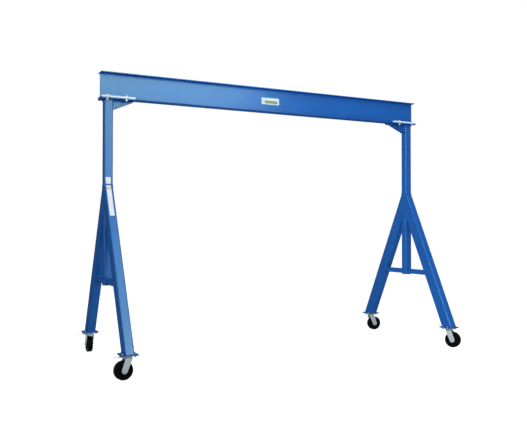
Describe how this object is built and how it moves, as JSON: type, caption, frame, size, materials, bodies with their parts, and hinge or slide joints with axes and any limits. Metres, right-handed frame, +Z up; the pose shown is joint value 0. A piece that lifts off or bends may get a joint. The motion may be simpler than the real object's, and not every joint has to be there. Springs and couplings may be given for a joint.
{
  "type": "portable steel gantry crane",
  "caption": "Portable steel gantry crane: a wide-flange beam on two A-frame ends that roll on swivel casters.",
  "frame": {"origin": "on the floor, under the middle of the crane", "axes": "+X along the beam, +Y across the crane away from the pictured side, +Z up"},
  "size_m": [4.715, 2.074, 3.41],
  "materials": {
    "blue_paint": "satin powder coat",
    "zinc_plate": "bright zinc plate",
    "black_tread": "matt moulded tread",
    "black_core": "semi-matt moulded core"
  },
  "bodies": {
    "frame": {"main_beam": "blue_paint", "left_mounting_plate": "blue_paint", "left_post": "blue_paint", "left_knee_bracket": "blue_paint", "left_near_clamp_bar": "zinc_plate", "left_near_leg": "blue_paint", "left_near_brace": "blue_paint", "left_near_foot_plate": "blue_paint", "left_near_caster_plate": "zinc_plate", "left_near_swivel_lock": "zinc_plate", "left_far_clamp_bar": "zinc_plate", "left_far_leg": "blue_paint", "left_far_brace": "blue_paint", "left_far_foot_plate": "blue_paint", "left_far_caster_plate": "zinc_plate", "left_far_swivel_lock": "zinc_plate", "right_mounting_plate": "blue_paint", "right_post": "blue_paint", "right_knee_bracket": "blue_paint", "right_near_clamp_bar": "zinc_plate", "right_near_leg": "blue_paint", "right_near_brace": "blue_paint", "right_near_foot_plate": "blue_paint", "right_near_caster_plate": "zinc_plate", "right_near_swivel_lock": "zinc_plate", "right_far_clamp_bar": "zinc_plate", "right_far_leg": "blue_paint", "right_far_brace": "blue_paint", "right_far_foot_plate": "blue_paint", "right_far_caster_plate": "zinc_plate", "right_far_swivel_lock": "zinc_plate"},
    "left_near_fork": {"left_near_yoke": "zinc_plate", "left_near_axle": "zinc_plate"},
    "left_near_wheel": {"left_near_wheel_core": "black_core", "left_near_tyre": "black_tread"},
    "left_far_fork": {"left_far_yoke": "zinc_plate", "left_far_axle": "zinc_plate"},
    "left_far_wheel": {"left_far_wheel_core": "black_core", "left_far_tyre": "black_tread"},
    "right_near_fork": {"right_near_yoke": "zinc_plate", "right_near_axle": "zinc_plate"},
    "right_near_wheel": {"right_near_wheel_core": "black_core", "right_near_tyre": "black_tread"},
    "right_far_fork": {"right_far_yoke": "zinc_plate", "right_far_axle": "zinc_plate"},
    "right_far_wheel": {"right_far_wheel_core": "black_core", "right_far_tyre": "black_tread"}
  },
  "joints": [
    {"name": "left_near_swivel", "type": "hinge", "parent": "frame", "child": "left_near_fork", "pos_m": [-2.192, -0.88778, 0.24], "axis": [0, 0, 1], "continuous": true},
    {"name": "left_near_wheel_spin", "type": "hinge", "parent": "left_near_fork", "child": "left_near_wheel", "pos_m": [-2.24361, -0.89412, 0.1015], "axis": [-0.1219, 0.9925, 0], "continuous": true},
    {"name": "left_far_swivel", "type": "hinge", "parent": "frame", "child": "left_far_fork", "pos_m": [-2.192, 0.88778, 0.24], "axis": [0, 0, 1], "continuous": true},
    {"name": "left_far_wheel_spin", "type": "hinge", "parent": "left_far_fork", "child": "left_far_wheel", "pos_m": [-2.192, 0.93978, 0.1015], "axis": [1, 0, 0], "continuous": true},
    {"name": "right_near_swivel", "type": "hinge", "parent": "frame", "child": "right_near_fork", "pos_m": [2.192, -0.88778, 0.24], "axis": [0, 0, 1], "continuous": true},
    {"name": "right_near_wheel_spin", "type": "hinge", "parent": "right_near_fork", "child": "right_near_wheel", "pos_m": [2.21878, -0.93236, 0.1015], "axis": [-0.8572, -0.515, 0], "continuous": true},
    {"name": "right_far_swivel", "type": "hinge", "parent": "frame", "child": "right_far_fork", "pos_m": [2.192, 0.88778, 0.24], "axis": [0, 0, 1], "continuous": true},
    {"name": "right_far_wheel_spin", "type": "hinge", "parent": "right_far_fork", "child": "right_far_wheel", "pos_m": [2.24304, 0.87786, 0.1015], "axis": [-0.1908, -0.9816, 0], "continuous": true}
  ]
}
